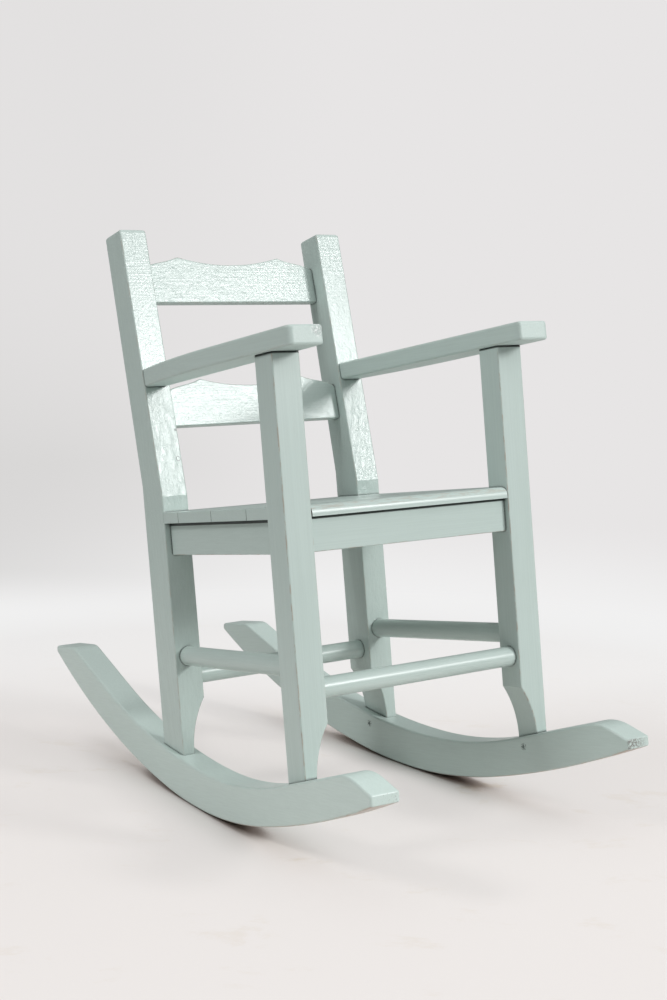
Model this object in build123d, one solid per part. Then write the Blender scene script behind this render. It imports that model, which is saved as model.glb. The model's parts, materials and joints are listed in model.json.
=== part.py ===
from build123d import *
import math
import os

os.makedirs("parts", exist_ok=True)

# Child's slat-back rocking armchair in painted wood. Millimetres.
# Everything is drawn in the joiner's frame: legs upright, seat level, x = 0 on the
# centre line, y = 0 on the front face of the front legs (y grows towards the back),
# z = 0 on the top of the seat. resting_place() then leans the finished pieces back onto
# their rockers, as the chair rests. +x is the sitter's left, so left_* pieces are at +x.

# ---- frame stock -------------------------------------------------------------
LEG_W = 30.0            # width of legs and posts across the chair
LEG_D = 28.0            # depth of a front leg
POST_D = 38.0           # depth of a rear post below the seat
EASE = 1.5              # softened long edges of legs and posts

# ---- plan of the chair -------------------------------------------------------
FRONT_HALF = 146.5      # centre line to the outer face of a front leg
REAR_HALF = 136.0       # centre line to the outer face of a rear post
POST_Y = 230.0          # front face of the rear posts
POST_BACK = POST_Y + POST_D
FRONT_IN = FRONT_HALF - LEG_W
REAR_IN = REAR_HALF - LEG_W
TAPER = (FRONT_HALF - REAR_HALF) / POST_Y
FRONT_MID = FRONT_HALF - LEG_W / 2
REAR_MID = REAR_HALF - LEG_W / 2
LEG_CY = LEG_D / 2
POST_CY = POST_Y + POST_D / 2

# ---- rear posts above the seat -----------------------------------------------
BEND_FRONT = 16.0       # height where the front face starts to lean back
BEND_BACK = 27.0        # height where the back face starts to lean back
RAKE = 8.4              # lean of the upper front face, degrees
POST_TOP = 286.5        # height of the front top edge
POST_TOP_D = 31.3       # depth of the post at the top
TOP_EASE = 3.5          # rounded top of a post
RAKE_T = math.tan(math.radians(RAKE))

# ---- rockers -----------------------------------------------------------------
ROCKER_T = 30.0
ROCKER_DEEP = 38.1      # between the lowest points of the top edge and the sole
ROCKER_EASE = 2.5
ROCKER_SKEW = 1.75      # rocker sits outside the front foot and inside the rear one
SOLE_Y = 127.3          # lowest point of the sole, joiner's frame
SOLE_Z = -298.1
SOLE_R = 482.0          # middle of the sole
SOLE_R_FRONT = 995.0
SOLE_R_BACK = 757.0
SOLE_FRONT_DEG = 7.5    # sweep of the middle radius towards the toe
SOLE_BACK_DEG = 15.0    # and towards the tail
TOE_Y = -121.5
TAIL_Y = 515.0
HOLLOW_Y = 113.5        # lowest point of the top edge
HOLLOW_Z = SOLE_Z + ROCKER_DEEP
HOLLOW_R = 407.0
HOLLOW_FRONT_DEG = 12.0
HOLLOW_BACK_DEG = 7.2
RISE_R = 664.0          # top edge behind the hollow
RISE_DEG = 20.3
CREST_Y = -70.0         # where the crest starts
CREST_R = 50.0
TOE_DEG = 22.0          # slope of the toe in front of the crest
TOE_ROUND = 2.0
TAIL_RISE = 152.6       # sawn-off top of the tail above the sole's lowest point
TAIL_FLAT_Z = SOLE_Z + TAIL_RISE
TAIL_ROUND = 24.0
TIP_ROUND = 4.0
OVERRUN = 15.0          # how far the cutting lines run past the wood

# ---- feet of legs and posts --------------------------------------------------
FOOT_W = 13.5           # width of a foot where it meets the rocker
COVE_R = 95.0           # hollow cut into the inner side of each foot
COVE_SINK = 2.5         # the cove would run out this far inside the rocker
LEG_TOP_EASE = 1.2      # rim of a front leg under the arm
TENON_W = 8.0
TENON_L = 20.0
TENON_DEEP = 22.0

# ---- seat --------------------------------------------------------------------
BOARD_T = 11.0
BOARD_GAP = 0.6
BOARD_COUNT = 4
SEAT_BACK = 266.0       # rear edge of the last board
NOTCH_GAP = 0.4
NOSE_R = 8.0            # rounded front arris of the seat
BOARD_EASE = 1.2
RAIL_T = 16.0
RAIL_H = 32.0
RAIL_EASE = 1.0
RAIL_TENON_T = RAIL_T / 2
RAIL_SHOULDER = 5.0     # above and below a rail tenon
RAIL_TENON_H = RAIL_H - 2 * RAIL_SHOULDER
RAIL_TENON_L = 10.0
SIDE_TENON_L = 5.0

# ---- stretchers --------------------------------------------------------------
DOWEL_R = 9.75
SOCKET = 14.0
SOCKET_WALL = 1.5       # wood left between the two sockets in a leg
SIDE_DOWEL_Z = -145.5
FRONT_DOWEL_Z = SIDE_DOWEL_Z - 2 * DOWEL_R - SOCKET_WALL
REAR_DOWEL_Z = FRONT_DOWEL_Z - 1.0

# ---- arms --------------------------------------------------------------------
ARM_T = 18.0
ARM_Z = 136.5           # underside of the arm over the front face of the leg
ARM_FALL = 2.35         # fall of the arm towards the back, degrees
ARM_FRONT_Y = -36.0
ARM_IN_FRONT = FRONT_IN - 2.0      # inner edge at the front end
ARM_IN_BACK = REAR_IN + 2.5        # and where it meets the post
ARM_OUT = FRONT_HALF + 5.0
ARM_OUT_BACK = REAR_HALF - 1.5
ARM_STRAIGHT_Y = 100.0  # the outer edge curves in behind this
ARM_CORNER = 6.0
ARM_INNER_CORNER = 3.0
ARM_EASE = 2.5
ARM_TENON = 14.0
ARM_TENON_H = ARM_T / 2
ARM_TENON_ROOT = 6.0    # depth to which the tenon runs into the leg

# ---- back slats --------------------------------------------------------------
SLAT_T = 12.0
SLAT_END_H = 35.5
SLAT_PEAK_H = 48.4
SLAT_MID_H = 40.2
SLAT_PEAK_X = 62.5
SLAT_PEAK_ROUND = 5.0
OGEE_NEAR = (0.36, 0.53)  # curve outside a peak: shares of its run and its fall
OGEE_FAR = (0.68, 0.38)
SLAT_EASE = 1.2
SLAT_TENON_T = SLAT_T / 2
SLAT_SHOULDER = 5.75    # above and below a slat tenon
SLAT_TENON_H = SLAT_END_H - 2 * SLAT_SHOULDER
SLAT_TENON_L = 9.0
UPPER_SLAT_Z = 213.8
UPPER_SLAT_SET = 18.3   # back from the front face of the posts
LOWER_SLAT_Z = 85.6
LOWER_SLAT_SET = 11.5

# ---- fasteners ---------------------------------------------------------------
SCREW_R = 1.9
SCREW_HEAD_R = 3.7
SCREW_HEAD_H = 2.4
DRIVE_W = 1.0              # cross recess in a screw head
DRIVE_L = 4.2
DRIVE_DEEP = 1.9
ROCKER_SCREW_SHORT = 6.0   # wood left in front of the screw's point
ROCKER_SCREW_L = ROCKER_T - ROCKER_SCREW_SHORT
ROCKER_SCREW_DROP = 10.5   # below the top edge of the rocker
ARM_SCREW_GRIP = 32.0      # length of the screw in the arm
ARM_SCREW_SINK = 6.0       # the head sits this far inside the post
ARM_BORE_CLEAR = 0.8       # room round the sunk head
NAIL_R = 1.1
NAIL_HEAD_R = 2.4
NAIL_HEAD_H = 1.0
NAIL_BITE = 19.0           # length of a nail in the rail
NAIL_L = BOARD_T + NAIL_BITE
NAIL_INSET = 9.0           # from the edge of a board
NAIL_SPREAD = 80.0         # between nails along the front and rear rails

# ---- resting position --------------------------------------------------------
REST_LEAN = 9.33        # the chair leans back until its weight is over the sole


def block(x0, x1, y0, y1, z0, z1):
    """Square block between two corners."""
    size = Box(x1 - x0, y1 - y0, z1 - z0)
    return Pos((x0 + x1) / 2, (y0 + y1) / 2, (z0 + z1) / 2) * size


def outer_x(y):
    """Outer side of the chair at depth y."""
    return FRONT_HALF - TAPER * y


def post_front(z):
    """Depth of the front face of a rear post at height z."""
    return POST_Y + RAKE_T * max(0.0, z - BEND_FRONT)


def plan_slab(points, z0, z1):
    """Flat slab with a polygon for its plan."""
    face = make_face(Polyline(*points, close=True))
    return Pos(0, 0, z0) * extrude(face, z1 - z0)


def side_slab(points, x0, x1):
    """Slab with a polygon for its side view; points are (y, z)."""
    face = make_face(Polyline(*[(0, y, z) for y, z in points], close=True))
    return Pos(x0, 0, 0) * extrude(face, x1 - x0, dir=(1, 0, 0))


def rod(start, end, radius):
    """Round rod between two points."""
    run = Vector(*end) - Vector(*start)
    plane = Plane(origin=start, z_dir=run.normalized())
    return extrude(plane * Circle(radius), run.length)


def other_side(piece):
    """The same piece on the sitter's right."""
    return mirror(piece, about=Plane.YZ)


# ---- rocker ------------------------------------------------------------------
def sweep_to(y, start, heading, radius):
    """Degrees an arc turns before it reaches depth y, plus a little."""
    begin = math.degrees(math.asin(heading))
    reach = abs(y - start) / radius + heading
    return math.degrees(math.asin(reach)) - begin + 1.0


def sole_lines():
    """Tangent arcs from the lowest point forward to the toe and back to the tail."""
    low = (SOLE_Y, SOLE_Z)
    back = JernArc(low, (1, 0), SOLE_R, SOLE_BACK_DEG)
    turn = sweep_to(TAIL_Y + OVERRUN, (back @ 1).X, (back % 1).Y, SOLE_R_BACK)
    tail = JernArc(back @ 1, back % 1, SOLE_R_BACK, turn)
    fore = JernArc(low, (-1, 0), SOLE_R, -SOLE_FRONT_DEG)
    turn = sweep_to(TOE_Y - OVERRUN, (fore @ 1).X, (fore % 1).Y, SOLE_R_FRONT)
    toe = JernArc(fore @ 1, fore % 1, SOLE_R_FRONT, -turn)
    return [toe, fore, back, tail]


def run_to_x(line, x):
    """Straight line on from the end of another, as far as x."""
    reach = (x - (line @ 1).X) / (line % 1).X
    return Line(line @ 1, (line @ 1) + (line % 1) * reach)


def top_lines():
    """Top edge: toe, crest, slope, hollow and rising tail."""
    low = (HOLLOW_Y, HOLLOW_Z)
    back = JernArc(low, (1, 0), HOLLOW_R, HOLLOW_BACK_DEG)
    rise = JernArc(back @ 1, back % 1, RISE_R, RISE_DEG)
    reach = (TAIL_FLAT_Z - (rise @ 1).Y) / (rise % 1).Y
    tail = Line(rise @ 1, (rise @ 1) + (rise % 1) * reach)
    fore = JernArc(low, (-1, 0), HOLLOW_R, -HOLLOW_FRONT_DEG)
    slope = run_to_x(fore, CREST_Y)
    crest = JernArc(slope @ 1, slope % 1, CREST_R, HOLLOW_FRONT_DEG + TOE_DEG)
    toe = run_to_x(crest, TOE_Y)
    return [toe, crest, slope, fore, back, rise, tail]


def edges_of(lines):
    """All edges of a list of lines."""
    found = []
    for line in lines:
        found += list(line.edges())
    return found


def corner_at(face, x, y):
    """The corner of a flat face closest to a point."""
    return face.vertices().sort_by_distance((x, y, 0))[0]


def rocker_face():
    """Side view of the rocker, drawn with x for depth and y for height."""
    top = top_lines()
    sole = sole_lines()
    toe_top = top[0] @ 1
    tail_top = top[-1] @ 1
    base = SOLE_Z - OVERRUN
    ends = [
        Line(toe_top, (TOE_Y, base)),
        Line((TOE_Y, base), (TAIL_Y, base)),
        Line((TAIL_Y, base), (TAIL_Y, TAIL_FLAT_Z)),
        Line((TAIL_Y, TAIL_FLAT_Z), tail_top),
    ]
    blank = make_face(Wire(edges_of(top) + edges_of(ends)))
    front = (sole[0] @ 1).X
    rear = (sole[-1] @ 1).X
    base -= OVERRUN
    waste = [
        Line(sole[0] @ 1, (front, base)),
        Line((front, base), (rear, base)),
        Line((rear, base), sole[-1] @ 1),
    ]
    face = blank - make_face(Wire(edges_of(sole) + edges_of(waste)))
    at_tail = face.vertices().filter_by_position(Axis.X, TAIL_Y - 0.1, TAIL_Y + 0.1)
    face = fillet(at_tail, TIP_ROUND)
    face = fillet(corner_at(face, tail_top.X, tail_top.Y), TAIL_ROUND)
    at_toe = face.vertices().filter_by_position(Axis.X, TOE_Y - 0.1, TOE_Y + 0.1)
    return fillet(at_toe, TOE_ROUND)


def rocker_line_x(y):
    """Centre of the left rocker at depth y."""
    front = FRONT_HALF - FOOT_W / 2 + ROCKER_SKEW
    rear = REAR_HALF - FOOT_W / 2 - ROCKER_SKEW
    return front + (rear - front) * (y - LEG_CY) / (POST_CY - LEG_CY)


def rocker_turn():
    """Angle in plan between the left rocker and the centre line, degrees."""
    return math.degrees(math.atan(rocker_line_x(0) - rocker_line_x(1)))


def rocker_slab(thick):
    """The rocker's side view as a slab of any thickness, in place."""
    upright = Plane(origin=(0, 0, 0), x_dir=(0, 1, 0), z_dir=(1, 0, 0))
    slab = extrude(upright * rocker_face(), thick / 2, both=True)
    return Pos(rocker_line_x(0), 0, 0) * Rot(0, 0, rocker_turn()) * slab


def rocker_blank():
    """Left rocker with softened edges, before the joints are cut."""
    slab = rocker_slab(ROCKER_T)
    flat = slab.faces().filter_by(GeomType.PLANE).sort_by(SortBy.AREA)[-2:]
    return fillet(flat.edges(), ROCKER_EASE)


def rocker_top_z(y):
    """Height of the rocker's top edge at depth y, above the hollow's two arcs."""
    if y < HOLLOW_Y - HOLLOW_R * math.sin(math.radians(HOLLOW_FRONT_DEG)):
        low = top_lines()[2] @ 0
        return low.Y + (low.X - y) * math.tan(math.radians(HOLLOW_FRONT_DEG))
    knee = HOLLOW_Y + HOLLOW_R * math.sin(math.radians(HOLLOW_BACK_DEG))
    if y < knee:
        return HOLLOW_Z + HOLLOW_R - math.sqrt(HOLLOW_R**2 - (y - HOLLOW_Y)**2)
    turn = math.radians(HOLLOW_BACK_DEG)
    centre_y = knee - RISE_R * math.sin(turn)
    centre_z = HOLLOW_Z + HOLLOW_R + (RISE_R - HOLLOW_R) * math.cos(turn)
    return centre_z - math.sqrt(RISE_R**2 - (y - centre_y)**2)


# ---- legs and posts ----------------------------------------------------------
def cove(x_outer, y_mid):
    """Waste taken off the inner side of a foot."""
    x_foot = x_outer - FOOT_W
    z_end = rocker_top_z(y_mid) - COVE_SINK
    drum = Pos(x_foot - COVE_R, y_mid, z_end) * Rot(90, 0, 0) * Cylinder(COVE_R, 3 * LEG_W)
    under = block(x_foot - COVE_R, x_foot, y_mid - 2 * LEG_W, y_mid + 2 * LEG_W,
                  z_end - COVE_R, z_end)
    return drum + under


def upright_edges(piece):
    """Edges that run up the piece, not those across its ends."""
    chosen = []
    for edge in piece.edges():
        box = edge.bounding_box()
        if box.max.Z - box.min.Z > TOP_EASE * 0.9:
            chosen.append(edge)
    return ShapeList(chosen)


def foot_tenon(x_outer, y_mid):
    """Tenon under a foot, let into the rocker."""
    x_mid = x_outer - FOOT_W / 2
    top = rocker_top_z(y_mid)
    core = block(x_mid - TENON_W / 2, x_mid + TENON_W / 2,
                 y_mid - TENON_L / 2, y_mid + TENON_L / 2,
                 top - TENON_DEEP, top + TENON_DEEP)
    return core & ROCKER_WIDE


def front_leg():
    """Left front leg: coved foot, tenons at both ends."""
    leg = block(FRONT_IN, FRONT_HALF, 0, LEG_D, HOLLOW_Z, ARM_Z + LEG_D)
    leg = fillet(upright_edges(leg - cove(FRONT_HALF, LEG_CY)), EASE)
    leg = leg - ARM_SPACE
    rim = leg.faces().sort_by(Axis.Z)[-1].edges()
    leg = fillet(rim, LEG_TOP_EASE) - ROCKER_WIDE
    return leg + foot_tenon(FRONT_HALF, LEG_CY) + arm_tenon()


def post_outline():
    """Side view of a rear post, as (y, z) points."""
    lean_back = math.radians(RAKE)
    top_y = post_front(POST_TOP)
    return [
        (POST_Y, HOLLOW_Z),
        (POST_Y, BEND_FRONT),
        (top_y, POST_TOP),
        (top_y + POST_TOP_D * math.cos(lean_back), POST_TOP - POST_TOP_D * math.sin(lean_back)),
        (POST_BACK, BEND_BACK),
        (POST_BACK, HOLLOW_Z),
    ]


def post_back(z):
    """Depth of the back face of a rear post above its bend."""
    top_y, top_z = post_outline()[3]
    return POST_BACK + (top_y - POST_BACK) * (z - BEND_BACK) / (top_z - BEND_BACK)


def rear_post():
    """Left rear post: sawn with a bend at the seat and a coved foot."""
    post = side_slab(post_outline(), REAR_IN, REAR_HALF)
    head = post.faces().sort_by(Axis.Z)[-1]
    post = fillet(head.edges(), TOP_EASE) - cove(REAR_HALF, POST_CY)
    post = fillet(upright_edges(post), EASE)
    return post - ROCKER_WIDE + foot_tenon(REAR_HALF, POST_CY)


# ---- arms --------------------------------------------------------------------
def arm_plane_z(y):
    """Height of the underside of the arm at depth y."""
    return ARM_Z - math.tan(math.radians(ARM_FALL)) * y


def arm_tilt(piece):
    """Turns a level piece to the fall of the arm."""
    return Pos(0, 0, ARM_Z) * Rot(-ARM_FALL, 0, 0) * piece


def arm_tenon():
    """Stub tenon on the top of the front leg, square to the arm."""
    half = ARM_TENON / 2
    stub = block(FRONT_MID - half, FRONT_MID + half, LEG_CY - half, LEG_CY + half,
                 -ARM_TENON_ROOT, ARM_TENON_H)
    return arm_tilt(stub)


def arm_blank():
    """Left arm: shaped board, before the joints are cut."""
    meet = post_front(arm_plane_z(POST_Y) + ARM_T / 2)
    outer = TangentArc((ARM_OUT, ARM_STRAIGHT_Y), (ARM_OUT_BACK, meet), tangent=(0, 1))
    reach = POST_D / 2
    rear = (outer @ 1) + (outer % 1) * reach
    slant = (ARM_IN_FRONT - ARM_IN_BACK) / (meet - ARM_FRONT_Y)
    inner = (ARM_IN_BACK - slant * (rear.Y - meet), rear.Y)
    edge = [
        Line(inner, (ARM_IN_FRONT, ARM_FRONT_Y)),
        Line((ARM_IN_FRONT, ARM_FRONT_Y), (ARM_OUT, ARM_FRONT_Y)),
        Line((ARM_OUT, ARM_FRONT_Y), (ARM_OUT, ARM_STRAIGHT_Y)),
        outer,
        Line(outer @ 1, rear),
        Line(rear, inner),
    ]
    face = make_face(Wire(edges_of(edge)))
    face = fillet(corner_at(face, ARM_OUT, ARM_FRONT_Y), ARM_CORNER)
    face = fillet(corner_at(face, ARM_IN_FRONT, ARM_FRONT_Y), ARM_INNER_CORNER)
    board = extrude(face, ARM_T)
    rims = []
    for rim in board.edges():
        box = rim.bounding_box()
        if box.max.Z - box.min.Z < 0.1 and rim.center().Y < rear.Y - 0.1:
            rims.append(rim)
    return arm_tilt(fillet(ShapeList(rims), ARM_EASE))


def behind_posts():
    """Everything behind the front faces of the rear posts."""
    top = POST_TOP + POST_D
    far = POST_BACK + POST_D * 3
    outline = [
        (POST_Y, -POST_D),
        (POST_Y, BEND_FRONT),
        (post_front(top), top),
        (far, top),
        (far, -POST_D),
    ]
    return side_slab(outline, -FRONT_HALF - LEG_W, FRONT_HALF + LEG_W)


def arm():
    """Left arm, butted against the post and mortised for the leg."""
    return arm_blank() - behind_posts() - arm_tenon()


# ---- seat --------------------------------------------------------------------
def board_span(index):
    """Front and rear edge of one seat board."""
    pitch = SEAT_BACK / BOARD_COUNT
    front = 0.0 if index == 0 else index * pitch + BOARD_GAP / 2
    rear = SEAT_BACK if index == BOARD_COUNT - 1 else (index + 1) * pitch - BOARD_GAP / 2
    return front, rear


def notches():
    """Clearance cut from the seat round both legs and both posts."""
    far = FRONT_HALF + LEG_W
    cuts = []
    for side in (-1, 1):
        for inner, y0, y1 in ((FRONT_IN, -LEG_D, LEG_D + NOTCH_GAP),
                              (REAR_IN, POST_Y - NOTCH_GAP, POST_BACK + LEG_D)):
            x0, x1 = sorted((side * (inner - NOTCH_GAP), side * far))
            cuts.append(block(x0, x1, y0, y1, -2 * BOARD_T, BOARD_T))
    return cuts


def seat_board(index):
    """Seat board running from side to side, notched round legs or posts."""
    front, rear = board_span(index)
    plan = [
        (-outer_x(front), front),
        (outer_x(front), front),
        (outer_x(rear), rear),
        (-outer_x(rear), rear),
    ]
    board = plan_slab(plan, -BOARD_T, 0) - notches()
    if index == 0:
        nose = board.edges().filter_by(Axis.X).group_by(Axis.Y)[0].sort_by(Axis.Z)[-1]
        board = fillet(nose, NOSE_R)
    rims = []
    for rim in board.edges():
        spot = rim.center()
        behind_nose = index > 0 or spot.Y > LEG_D
        if spot.Z > -BOARD_EASE / 2 and rim.length > 3 * BOARD_EASE and behind_nose:
            rims.append(rim)
    return fillet(ShapeList(rims), BOARD_EASE) - NAILS


def cross_rail(half, y_mid):
    """Rail across the chair between two inner faces, with its tenons."""
    low = -BOARD_T - RAIL_H
    rail = block(-half, half, y_mid - RAIL_T / 2, y_mid + RAIL_T / 2, low, -BOARD_T)
    rail = fillet(rail.edges().filter_by(Axis.X), RAIL_EASE)
    shy = (RAIL_H - RAIL_TENON_H) / 2
    end = half + RAIL_TENON_L
    return rail + block(-end, end, y_mid - RAIL_TENON_T / 2, y_mid + RAIL_TENON_T / 2,
                        low + shy, -BOARD_T - shy)


def side_bar(width, height, y0, y1):
    """Bar along the left side, following the taper of the plan."""
    mid = -BOARD_T - RAIL_H / 2
    x0 = outer_x(y0) - LEG_W / 2
    x1 = outer_x(y1) - LEG_W / 2
    plan = [
        (x0 - width / 2, y0),
        (x0 + width / 2, y0),
        (x1 + width / 2, y1),
        (x1 - width / 2, y1),
    ]
    return plan_slab(plan, mid - height / 2, mid + height / 2)


def side_rail():
    """Left seat rail, tenoned into leg and post."""
    rail = side_bar(RAIL_T, RAIL_H, LEG_D, POST_Y)
    runs = [edge for edge in rail.edges() if edge.length > (POST_Y - LEG_D) * 0.9]
    rail = fillet(ShapeList(runs), RAIL_EASE)
    tenons = side_bar(RAIL_TENON_T, RAIL_TENON_H, LEG_D - SIDE_TENON_L, POST_Y + RAIL_TENON_L)
    return rail + tenons


# ---- back slats --------------------------------------------------------------
def slat_face():
    """Front view of a slat: straight below, two peaks and a dip above."""
    run = REAR_IN - SLAT_PEAK_X
    fall = SLAT_PEAK_H - SLAT_END_H
    half = [(SLAT_PEAK_X, SLAT_PEAK_H)]
    for along, down in (OGEE_NEAR, OGEE_FAR, (1.0, 1.0)):
        half.append((SLAT_PEAK_X + along * run, SLAT_PEAK_H - down * fall))
    other = [(-x, z) for x, z in half]
    outline = [
        Line((-REAR_IN, 0), (REAR_IN, 0)),
        Line((REAR_IN, 0), half[-1]),
        Bezier(*half),
        ThreePointArc(half[0], (0, SLAT_MID_H), other[0]),
        Bezier(*other),
        Line(other[-1], (-REAR_IN, 0)),
    ]
    return make_face(Wire(edges_of(outline)))


def back_slat(z_low, setback):
    """Back slat with its tenons, leaning with the posts."""
    upright = Plane(origin=(0, 0, 0), x_dir=(1, 0, 0), z_dir=(0, -1, 0))
    slat = extrude(upright * slat_face(), -SLAT_T)
    peaks = slat.edges().filter_by(Axis.Y).group_by(Axis.Z)[-1]
    slat = fillet(peaks, SLAT_PEAK_ROUND)
    rims = []
    for rim in slat.edges():
        box = rim.bounding_box()
        if box.max.X - box.min.X > 3 * SLAT_EASE and box.max.Y - box.min.Y < 0.1:
            rims.append(rim)
    slat = fillet(ShapeList(rims), SLAT_EASE)
    end = REAR_IN + SLAT_TENON_L
    low = (SLAT_END_H - SLAT_TENON_H) / 2
    front = (SLAT_T - SLAT_TENON_T) / 2
    slat += block(-end, end, front, front + SLAT_TENON_T, low, low + SLAT_TENON_H)
    return Pos(0, post_front(z_low) + setback, z_low) * Rot(-RAKE, 0, 0) * slat


# ---- stretchers --------------------------------------------------------------
def side_stretcher():
    """Left stretcher from the front leg to the rear post."""
    y0 = LEG_D - SOCKET
    y1 = POST_Y + SOCKET
    start = (outer_x(y0) - LEG_W / 2, y0, SIDE_DOWEL_Z)
    end = (outer_x(y1) - LEG_W / 2, y1, SIDE_DOWEL_Z)
    return rod(start, end, DOWEL_R)


def cross_stretcher(half, y, z):
    """Stretcher across the chair."""
    return rod((-half - SOCKET, y, z), (half + SOCKET, y, z), DOWEL_R)


# ---- fasteners ---------------------------------------------------------------
def screw(length):
    """Countersunk screw without its recess: head at the origin, shank down -z."""
    shank = Pos(0, 0, -length / 2) * Cylinder(SCREW_R, length)
    return shank + Pos(0, 0, -SCREW_HEAD_H / 2) * Cone(SCREW_R, SCREW_HEAD_R, SCREW_HEAD_H)


def cross_drive():
    """Cross recess in a screw head."""
    bar = Box(DRIVE_L, DRIVE_W, DRIVE_DEEP)
    return bar + Rot(0, 0, 90) * bar


def aim(piece, spot, away):
    """Puts a fastener at a point with its head facing the direction away."""
    return Plane(origin=spot, z_dir=away).location * piece


def rocker_screws(shape):
    """A screw shape at both places in the inner face of the left rocker."""
    turn = math.radians(rocker_turn())
    inward = (-math.cos(turn), -math.sin(turn), 0)
    group = []
    for y in (LEG_CY, POST_CY):
        x = rocker_line_x(y) - ROCKER_T / 2 / math.cos(turn)
        spot = (x, y, rocker_top_z(y) - ROCKER_SCREW_DROP)
        group.append(aim(shape, spot, inward))
    return group


def arm_screw(shape):
    """A screw shape through the left post into the end of the arm."""
    fall = math.radians(ARM_FALL)
    y = post_front(arm_plane_z(POST_Y) + ARM_T / 2)
    z = arm_plane_z(y) + ARM_T / 2
    reach = (post_back(z) - y - ARM_SCREW_SINK) / math.cos(fall)
    away = (0, math.cos(fall), -math.sin(fall))
    x = (ARM_IN_BACK + ARM_OUT_BACK) / 2
    spot = (x, y + reach * math.cos(fall), z - reach * math.sin(fall))
    return aim(shape, spot, away)


def arm_screw_length():
    """From the sunk head through the rest of the post into the arm."""
    z = arm_plane_z(POST_Y) + ARM_T / 2
    return post_back(z) - post_front(z) - ARM_SCREW_SINK + ARM_SCREW_GRIP


def nail_spots():
    """Nail positions: both sides of each board, then along the cross rails."""
    spots = []
    for index in range(BOARD_COUNT):
        front, rear = board_span(index)
        front = max(front, LEG_D)
        rear = min(rear, POST_Y)
        for y in (front + NAIL_INSET, rear - NAIL_INSET):
            for side in (-1, 1):
                spots.append((side * (outer_x(y) - LEG_W / 2), y))
    for y in (LEG_CY, POST_CY):
        for step in (-1, 0, 1):
            spots.append((step * NAIL_SPREAD, y))
    return spots


def nails():
    """Seat nails with flat heads level with the boards."""
    shank = Pos(0, 0, -NAIL_L / 2) * Cylinder(NAIL_R, NAIL_L)
    nail = shank + Pos(0, 0, -NAIL_HEAD_H / 2) * Cylinder(NAIL_HEAD_R, NAIL_HEAD_H)
    return [Pos(x, y, 0) * nail for x, y in nail_spots()]


# ---- assembly ----------------------------------------------------------------
ROCKER_WIDE = rocker_slab(3 * ROCKER_T)
ARM_SPACE = arm_tilt(block(0, 2 * FRONT_HALF, 2 * ARM_FRONT_Y, 2 * POST_BACK, 0, 3 * ARM_T))
NAILS = nails()
ROCKER_SCREW = screw(ROCKER_SCREW_L)
ARM_SCREW = screw(arm_screw_length())
ARM_BORE = Pos(0, 0, ARM_SCREW_SINK) * Cylinder(SCREW_HEAD_R + ARM_BORE_CLEAR, 2 * ARM_SCREW_SINK)


def side_pieces(upper, lower, front_bar, rear_bar, front_rail, rear_rail):
    """The pieces of the left side, with every joint cut."""
    rail = side_rail()
    bar = side_stretcher()
    screws = rocker_screws(ROCKER_SCREW)
    arm_hole = [arm_screw(ARM_SCREW), arm_screw(ARM_BORE)]
    tenons = [foot_tenon(FRONT_HALF, LEG_CY), foot_tenon(REAR_HALF, POST_CY)]
    return {
        "rocker": rocker_blank() - tenons - screws,
        "front_leg": front_leg() - [front_rail, rail, bar, front_bar] - screws,
        "rear_post": (rear_post() - [rear_rail, rail, bar, rear_bar, upper, lower]
                      - arm_hole - screws),
        "arm": arm() - arm_hole,
        "stretcher": bar,
        "seat_rail": rail - NAILS,
    }


def build():
    """All pieces in the joiner's frame, by name."""
    front_rail = cross_rail(FRONT_IN, LEG_CY)
    rear_rail = cross_rail(REAR_IN, POST_CY)
    front_bar = cross_stretcher(FRONT_IN, LEG_CY, FRONT_DOWEL_Z)
    rear_bar = cross_stretcher(REAR_IN, POST_CY, REAR_DOWEL_Z)
    upper = back_slat(UPPER_SLAT_Z, UPPER_SLAT_SET)
    lower = back_slat(LOWER_SLAT_Z, LOWER_SLAT_SET)
    parts = {
        "front_seat_rail": front_rail - NAILS,
        "rear_seat_rail": rear_rail - NAILS,
        "front_stretcher": front_bar,
        "rear_stretcher": rear_bar,
        "upper_back_slat": upper,
        "lower_back_slat": lower,
        "seat_nails": NAILS,
    }
    left = side_pieces(upper, lower, front_bar, rear_bar, front_rail, rear_rail)
    for name, piece in left.items():
        parts["left_" + name] = piece
        parts["right_" + name] = other_side(piece)
    for index in range(BOARD_COUNT):
        parts["seat_board_%d" % (index + 1)] = seat_board(index)
    screws = rocker_screws(ROCKER_SCREW - cross_drive())
    parts["rocker_screws"] = screws + [other_side(one) for one in screws]
    one = arm_screw(ARM_SCREW - cross_drive())
    parts["arm_screws"] = [one, other_side(one)]
    return parts


def resting_place(rocker):
    """Lean of the chair, then its shift onto the floor and over the origin."""
    lean = Rot(-REST_LEAN, 0, 0)
    box = (lean * rocker).bounding_box()
    return Pos(0, -(box.min.Y + box.max.Y) / 2, -box.min.Z) * lean


def export_all():
    """Stands the chair on the floor and writes every node."""
    parts = build()
    place = resting_place(parts["left_rocker"])
    for name, piece in parts.items():
        pieces = piece if isinstance(piece, list) else [piece]
        solids = []
        for one in pieces:
            solids += list((place * one).solids())
        node = solids[0] if len(solids) == 1 else Compound(children=solids)
        node.label = name
        export_step(node, "parts/" + name + ".step")


export_all()
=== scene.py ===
import json
import math

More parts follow.
